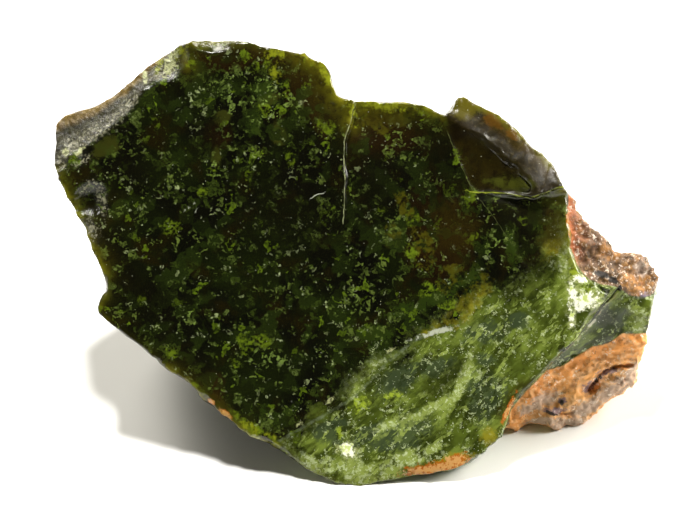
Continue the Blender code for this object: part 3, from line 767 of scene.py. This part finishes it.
def dark_opal(on):
    """Nearly black green, with brown depths and pale torn flecks."""
    tufts = on.clouds(1.5, 0.6, 0.7, 2.0, shift=24.0)
    mottle = on.clouds(0.45, 0.35, 0.6, 2.0, least=0.2, shift=14.0)
    return on.over(
        "050601",
        ("0e1402", 1.0, on.clouds(9.0, 0.42, 0.65)),  # green depths
        ("141001", 1.0, on.clouds(5.0, 0.5, 0.7, shift=4.0)),  # brown depths
        ("1c1002", 0.8, on.ragged("brown", 3.0, 1.2, 0.3, 0.7)),
        ("32350c", 0.8, on.ragged("olive", 1.6, 1.0)),
        ("2a3a0c", 0.6, on.ragged("light", 1.6, 2.2, 0.35, 0.8)),
        ("1a2406", 0.9, on.shards(2.2, 0.26, 31.1, 0.8, 9.0)),  # broad dull patches
        ("2c380e", 0.9, mottle, on.shards(1.1, 0.14, 11.3, 1.0, 8.0)),  # dull flecks
        ("5a6a2c", 1.0, mottle, on.shards(0.8, 0.04, 5.3, 1.6, 6.0)),  # paler flecks
        ("26320a", 0.8, tufts),  # tufts of fine strands
        ("5c6a34", 1.0, mottle, tufts, on.strands(0.8, 0.09, 3.7)),
        ("8c9868", 1.0, mottle, on.shards(0.55, 0.014, 3.7, 1.6, 5.0)),  # the palest flecks
        ("7c9444", 1.0, mottle, on.shards(0.8, 0.16, 41.0, 1.6), on.ragged("flecked", 3.0, 1.4, 0.3, 0.75)),
        ("a4b084", 1.0, mottle, on.clouds(1.2, 0.66, 0.74, 2.0, shift=34.0), on.strands(0.8, 0.08, 13.7)),
        ("586e14", 0.9, mottle, on.shards(1.1, 0.03, 21.9, 1.2, 7.0)),  # yellow-green flecks
        ("48460a", 0.8, on.ragged("amber", 1.8, 1.8, 0.35, 0.75), on.clouds(1.0, 0.42, 0.6)),
        ("5c7014", 0.9, on.ragged("lime", 1.0, 1.8, 0.42, 0.8), on.clouds(0.7, 0.4, 0.6)),
        ("070601", 0.6, on.ragged("dark", 3.0, 1.2, 0.3, 0.8)),
    )


def pale_opal(on):
    """Clouded olive to yellow green, with grey pools and fine pale specks."""
    mottle = on.clouds(0.6, 0.32, 0.6, 3.0, least=0.25, shift=44.0)
    return on.over(
        "2e380e",
        ("4e5c1c", 1.0, on.clouds(5.0, 0.4, 0.65)),  # broad clouds
        ("6c7c30", 0.9, on.clouds(2.0, 0.46, 0.64, 5.0, 0.65, place=on.slanted)),  # slanting streaks
        ("36422a", 0.85, on.ragged("grey", 2.0, 1.5, 0.35, 0.7)),
        ("8c9c4c", 0.8, on.ragged("light", 1.6, 1.8, 0.35, 0.75)),
        ("1c2206", 0.85, mottle, on.shards(1.0, 0.26, 9.0, 1.2, 5.0, on.slanted)),  # dark flecks
        ("8a9a4a", 0.9, mottle, on.shards(0.7, 0.18, 8.1, 1.4, 4.0, on.slanted)),  # pale flecks
        ("b4c090", 0.9, mottle, on.shards(0.35, 0.11, 2.2, 1.4, 3.0)),  # pale specks
        ("b8c498", 0.8, on.shards(0.45, 0.28, 12.2, 1.0), on.ragged("light", 1.6, 1.6, 0.4, 0.7)),
        ("8c8420", 0.8, on.ragged("amber", 1.8, 1.5, 0.35, 0.7), on.clouds(1.6, 0.3, 0.55, least=0.3)),
        ("94a830", 0.9, on.ragged("lime", 1.0, 1.8, 0.4, 0.8), on.clouds(0.8, 0.35, 0.6)),
        ("202608", 0.7, on.ragged("dark", 3.0, 1.2, 0.3, 0.8)),
        # painted glints
        ("e4ead0", 0.8, on.painted_glints(0.7, 0.06, 2.0)),
    )


def flake_facet(on):
    """The grey-brown facet behind the flake's ridge, olive and orange towards its thin edge."""
    out = on.painted["flake_out"]
    far = add(on.tree, "MapRange", (out, 0.25, 0.7))
    farthest = add(on.tree, "MapRange", (out, 0.5, 0.95))
    return on.over(
        "1e1708",
        ("161006", 0.9, on.clouds(1.6, 0.45, 0.6)),
        ("3c3420", 0.9, on.clouds(0.5, 0.52, 0.68, roughness=0.7)),
        ("3c2c08", 1.0, far, on.clouds(1.8, 0.3, 0.5)),
        ("6c6e12", 1.0, farthest, on.clouds(1.3, 0.3, 0.5)),
        ("48420a", 1.0, on.ragged("flake_top", 1.5, 0.8)),
        ("4c3006", 0.7, on.ragged("flake_orange", 1.0, 1.4)),
    )


def shell_hollow(on):
    """The thin brown hollow inside the flake's ridge, olive where light comes through."""
    return on.over(
        "120c01",
        ("262004", 0.6, on.clouds(2.4, 0.35, 0.6)),
        ("3e4210", 0.8, on.ragged("shine", 2.0, 1.8, 0.35, 0.85)),
    )


GRAIN_SIZE = 0.55  # of the crust, in millimetres


def iron_crust(on):
    """Rusty limonite grown into the stone's skin: orange to tan grains with mauve and pale glints."""
    grains = add(on.tree, "TexVoronoi", {"Vector": on.place, "Scale": 1 / GRAIN_SIZE}, "Color")
    grain = add(on.tree, "SeparateColor", (grains,))
    near_edge = add(on.tree, "MapRange", (on.painted["orange"], 0.1, 0.6))
    # The lower crust is lighter than the upper: partly its own tone, partly painted light for how brightly it
    # is lit.
    lower = on.over(
        "c8965c",
        ("f2b266", 1.0, on.clouds(2.2, 0.42, 0.62)),  # orange clouds
        ("dc8834", 0.7, near_edge),
        ("e8b680", 0.5, add(on.tree, "MapRange", (grain, 0.6, 0.75))),
    )
    upper = on.over(
        "4c3820",
        ("7c5828", 1.0, on.clouds(1.6, 0.42, 0.62)),
        ("a06c28", 0.9, on.ragged("amber_end", 1.6, 1.2, 0.3, 0.7)),
        ("64482c", 0.7, add(on.tree, "MapRange", (grain, 0.55, 0.75))),
        ("b48c58", 0.6, on.shards(0.3, 0.07, 37.0, 1.3, 3.0)),  # tan specks
        ("f0dccc", 0.9, on.shards(0.25, 0.045, 47.0, 1.3, 2.0)),  # pale glints
        ("20140a", 0.6, on.shards(0.6, 0.07, 57.0, 1.3, 3.0)),  # painted shade in pits
        ("b45814", 0.9, on.painted["edge_orange"], on.clouds(1.2, 0.3, 0.55)),
    )
    return on.over(
        lower,
        (upper, 1.0, on.ragged("upper", 3.0, 1.0)),
        ("b09c8c", 0.8, on.ragged("ash", 1.2, 1.4, 0.35, 0.7)),
        ("8c5020", 0.5, on.clouds(0.9, 0.56, 0.68, 4.0, 0.65, shift=6.0)),  # rusty clouds
        ("6c6078", 0.8, on.ragged("mauve", 1.0, 1.6, 0.4, 0.65)),
        ("f0e0cc", 0.8, on.shards(0.4, 0.08, 17.0, 1.3, 3.0)),  # painted pale glints
        ("4c3016", 0.5, on.shards(0.5, 0.07, 27.0, 1.3, 4.0)),  # dark specks
    )


OPAL_IOR = 1.45
GLASSY, DULL = 0.2, 0.48  # roughness of a fresh break, and of the crust
HAZE = 0.8  # how far a hazy spot goes from the first to the second
GRIT_SIZE, GRIT_HEIGHT, GRIT_STRENGTH = 0.35, 0.3, 0.7  # in millimetres, and the bump's share of it
FRESH_GRIT = 0.1  # the share of the grit that a fresh break has


def opal_material(painted):
    """Common opal, broken by hand. Its fresh breaks shine like glass, thick parts look nearly black and
    thin edges glow yellow green. The crust of limonite on its right side is rusty, dull and grainy."""
    material = bpy.data.materials.new("broken_common_opal_with_limonite")
    material.use_nodes = True
    tree = material.node_tree
    shader = tree.nodes["Principled BSDF"]
    on = Patterns(tree, painted)

    white = on.ragged("white", 0.6, 2.0, 0.42, 0.75)
    body = on.over(
        dark_opal(on),
        (pale_opal(on), 1.0, on.ragged("pale", 5.0, 1.3, 0.3, 0.75)),
        ("2a2204", 0.6, on.ragged("tea", 1.6, 1.2, 0.3, 0.75)),
        ("8a967c", 0.3, on.line("vein", 0.3), on.clouds(1.0, 0.35, 0.65, least=0.1)),
        ("ac5816", 0.9, on.ragged("rust", 0.9, 1.4, 0.4, 0.65)),
        ("d4a464", 0.8, on.ragged("rust", 0.5, 2.0, 0.55, 0.8)),
        ("a9ae9c", 0.9, on.ragged("streak", 0.7, 1.2, 0.4, 0.65)),
        # olive near every sharp edge: painted glow of light through the thin rims
        ("3c3a0a", 0.3, on.painted["rim"], on.clouds(2.2, 0.3, 0.65)),
        ("2a2206", 0.55, on.painted["wide_glow"], on.clouds(3.0, 0.25, 0.6, least=0.3)),
        ("7c7a16", 1.0, on.painted["glow"], on.clouds(1.2, 0.3, 0.6, 4.0, least=0.15)),
        (shell_hollow(on), 0.95, on.painted["hollow"]),
        (flake_facet(on), 0.92, on.painted["flake_bevel"]),
        (on.over("242009", ("3a3822", 1.0, on.clouds(0.8, 0.4, 0.6))), 0.9, on.painted["bevel"]),
        (on.over("5a4614", ("7c6630", 1.0, on.clouds(1.0, 0.4, 0.6))), 0.9, on.painted["bevel_outer"]),
        # grey painted glints on the hackled edges
        ("8e8c72", 0.85, on.ragged("hackles_and_painted_glints", 0.6, 1.5, 0.4, 0.7), on.shards(0.3, 0.4, 7.0, 1.0)),
        ("7c8418", 0.85, on.ragged("bright", 0.9, 2.2, 0.4, 0.85), on.clouds(0.9, 0.35, 0.6, least=0.25)),
        ("9ca070", 1.0, on.ragged("thin", 0.5, 1.6), on.clouds(0.5, 0.35, 0.6, least=0.3)),
        # the white patch, with a pale halo and a lime fringe: painted light glowing through the stone
        ("a8b070", 0.6, on.ragged("white", 2.0, 1.0, 0.15, 0.5), on.clouds(0.7, 0.4, 0.6)),
        ("fafce4", 1.0, white),
        ("b4c838", 0.8, white, on.clouds(1.6, 0.5, 0.6)),
        # painted glints
        ("dfe6cc", 0.7, on.painted_glints(1.1, 0.055)),
        # painted highlight: a yellow-green line where the ledge's thin edge catches the light
        ("8c9630", 0.8, on.line("ledge_edge", 0.14, 0.0, 0.3), on.clouds(1.6, 0.3, 0.55, least=0.3)),
        # painted highlight: a pale line along the step's edge
        ("989e74", 0.75, on.line("step_edge", 0.1, 0.0, 0.3), on.clouds(1.4, 0.35, 0.6, least=0.15)),
        ("6c7444", 0.3, on.line("foot", 0.08, 0.0, 0.3), on.clouds(1.2, 0.35, 0.6, least=0.2, shift=8.0)),
        ("c8ccbc", 0.7, on.line("fibre", 0.08, waver=0.1), on.ragged("fibre_end", 0.5, 0.4)),
    )
    crusty = on.ragged("crust", 0.8, 0.6)
    colour = on.over(
        body,
        (iron_crust(on), 1.0, crusty),
        ("c8b898", 0.35, on.line("lip", 0.18, 0.33), on.clouds(1.4, 0.35, 0.6)),
        ("1c140a", 0.9, on.line("lip", 0.16)),  # dark crack, with a pale edge
        ("100a04", 0.95, on.ragged("painted_hole_shade", 0.6, 1.0, 0.4, 0.6)),  # painted shade in the holes
    )
    tree.links.new(colour, shader.inputs["Base Color"])

    worn = add(tree, "Math", (on.painted["haze"], HAZE, crusty), operation="MULTIPLY_ADD")
    roughness = add(tree, "MapRange", {"Value": worn, "To Min": GLASSY, "To Max": DULL})
    tree.links.new(roughness, shader.inputs["Roughness"])

    coarse = add(tree, "Math", (crusty, on.painted["bevel"]), operation="MAXIMUM")
    coarse = add(tree, "Math", (coarse, on.painted["hackles_and_painted_glints"]), operation="MAXIMUM")
    coarse = add(tree, "MapRange", {"Value": coarse, "To Min": FRESH_GRIT, "To Max": 1.0})
    grit = add(tree, "TexNoise", {
        "Vector": on.place, "Scale": 1 / GRIT_SIZE, "Detail": 4.0, "Roughness": 0.7,
    })
    height = add(tree, "Math", (grit, coarse), operation="MULTIPLY")
    bump = add(tree, "Bump", {"Strength": GRIT_STRENGTH, "Distance": GRIT_HEIGHT * MM, "Height": height})
    tree.links.new(bump, shader.inputs["Normal"])
    shader.inputs["IOR"].default_value = OPAL_IOR
    return material


def paper_material():
    """Matt white paper, which keeps no gloss."""
    material = bpy.data.materials.new("matt_white_paper")
    material.use_nodes = True
    shader = material.node_tree.nodes["Principled BSDF"]
    shader.inputs["Base Color"].default_value = tone("f1f1ef")
    shader.inputs["Roughness"].default_value = 0.9
    return material


# ---------------------------------------------------------------- floor, light and camera

CAMERA_DISTANCE = 420.0
FRAME_WIDTH = 98.0  # how much of the face's plane the frame takes in, in millimetres
SENSOR = 36.0
NEAREST_SEEN = 0.01  # from the camera, in metres
FLOOR_SIZE = 4.0  # in metres
LIGHT_DISTANCE = 0.9  # of every lamp from the stone, in metres
# Soft square lamps: name, direction from the stone, size, power and colour
LIGHTS = [
    ("overhead", (-0.12, 0.26, 1.0), 0.1, 12.5, (1.0, 0.98, 0.94)),
    ("behind", (-0.5, 0.8, 0.62), 0.4, 9.5, (1.0, 0.96, 0.87)),
    ("right", (0.95, 0.3, 0.53), 0.5, 19.0, (1.0, 0.97, 0.9)),
    ("left", (-0.95, -0.1, 0.35), 0.5, 1.0, (1.0, 0.95, 0.8)),
]
ROOM_COLOUR, ROOM_STRENGTH = (1.0, 0.94, 0.75, 1.0), 0.05  # warm light from all around


def lay_floor():
    """A sheet of paper under the stone."""
    bpy.ops.mesh.primitive_plane_add(size=FLOOR_SIZE)
    floor = bpy.context.object
    floor.name = "floor"
    floor.data.materials.append(paper_material())


def light_room():
    """Lights the stone with the lamps, each aimed at it, and with a little light from all around."""
    world = bpy.data.worlds.new("studio")
    world.use_nodes = True
    background = world.node_tree.nodes["Background"]
    background.inputs["Color"].default_value = ROOM_COLOUR
    background.inputs["Strength"].default_value = ROOM_STRENGTH
    bpy.context.scene.world = world
    bpy.context.scene.view_settings.view_transform = "Standard"
    for name, direction, size, power, colour in LIGHTS:
        lamp = bpy.data.lights.new(name, "AREA")
        lamp.size = size
        lamp.energy = power
        lamp.color = colour
        obj = bpy.data.objects.new(name, lamp)
        bpy.context.scene.collection.objects.link(obj)
        place = Vector(direction).normalized() * LIGHT_DISTANCE
        obj.location = place
        obj.rotation_euler = place.to_track_quat("Z", "Y").to_euler()


def add_camera():
    """Looks squarely at the big face from far off."""
    camera = bpy.data.cameras.new("camera")
    camera.sensor_width = SENSOR
    camera.lens = SENSOR * CAMERA_DISTANCE / FRAME_WIDTH
    camera.clip_start = NEAREST_SEEN
    obj = bpy.data.objects.new("camera", camera)
    bpy.context.scene.collection.objects.link(obj)
    place = to_stone() @ Vector((0, 0, CAMERA_DISTANCE))
    obj.matrix_world = Matrix.Translation(place) @ Matrix.Rotation(math.radians(FACE_SLOPE), 4, "X")
    bpy.context.scene.camera = obj


stone, edges = shape_stone(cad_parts["opalite_stone"])
tints = paint(stone.data, edges)
stone.data.materials.append(opal_material(tints))
select_only(stone)
bpy.ops.object.shade_smooth()
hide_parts("opalite_stone")
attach(stone, "root")
lay_floor()
light_room()
add_camera()
